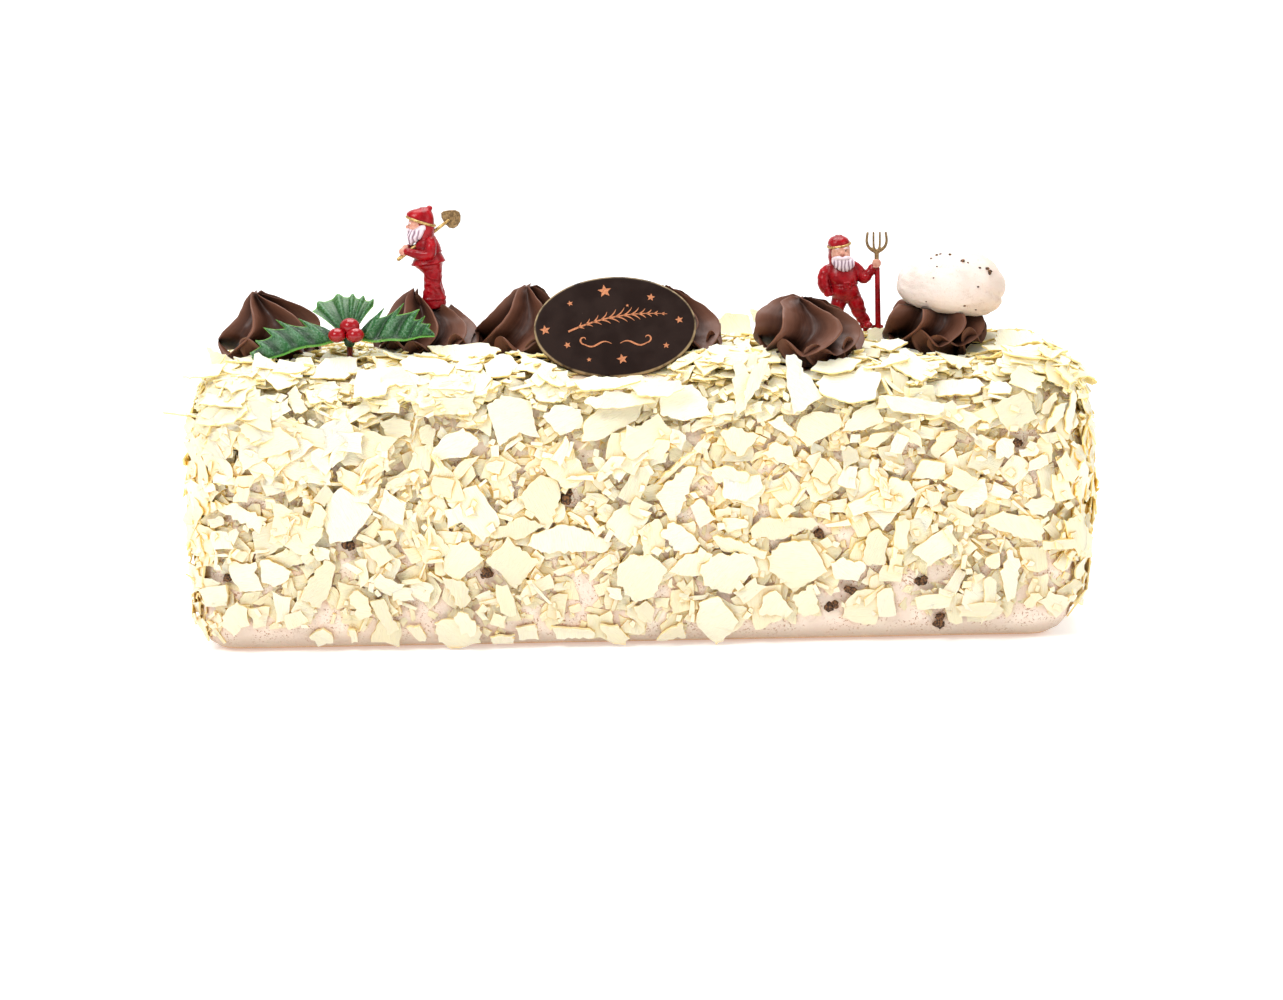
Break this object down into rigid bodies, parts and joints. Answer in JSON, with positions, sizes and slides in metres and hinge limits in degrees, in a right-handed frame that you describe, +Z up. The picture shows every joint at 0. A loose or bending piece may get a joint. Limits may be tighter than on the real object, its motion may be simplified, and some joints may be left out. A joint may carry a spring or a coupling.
{
  "type": "meringue yule log",
  "caption": "Log-shaped meringue and cream cake in white chocolate shavings, with piped chocolate rosettes, a meringue shell, a plaque, holly and gnome picks on top.",
  "frame": {"origin": "middle of the flat underside of the log", "axes": "+X along the log, +Y towards its back, +Z up"},
  "size_m": [0.3293, 0.1077, 0.1536],
  "materials": {
    "white_shavings": "satin ivory",
    "chocolate_cream": "soft satin brown",
    "baked_meringue": "matt off-white",
    "dark_chocolate": "smooth dark brown",
    "green_plastic": "moulded green",
    "red_plastic": "glossy red",
    "red_paint": "glossy painted red"
  },
  "bodies": {
    "root": {"cake": "white_shavings", "rosette_1": "chocolate_cream", "rosette_2": "chocolate_cream", "rosette_3": "chocolate_cream", "rosette_4": "chocolate_cream", "rosette_5": "chocolate_cream", "rosette_6": "chocolate_cream", "meringue_shell": "baked_meringue", "plaque": "dark_chocolate", "holly_leaves": "green_plastic", "holly_berries": "red_plastic", "gnome_with_shovel": "red_paint", "gnome_with_fork": "red_paint"}
  },
  "joints": []
}
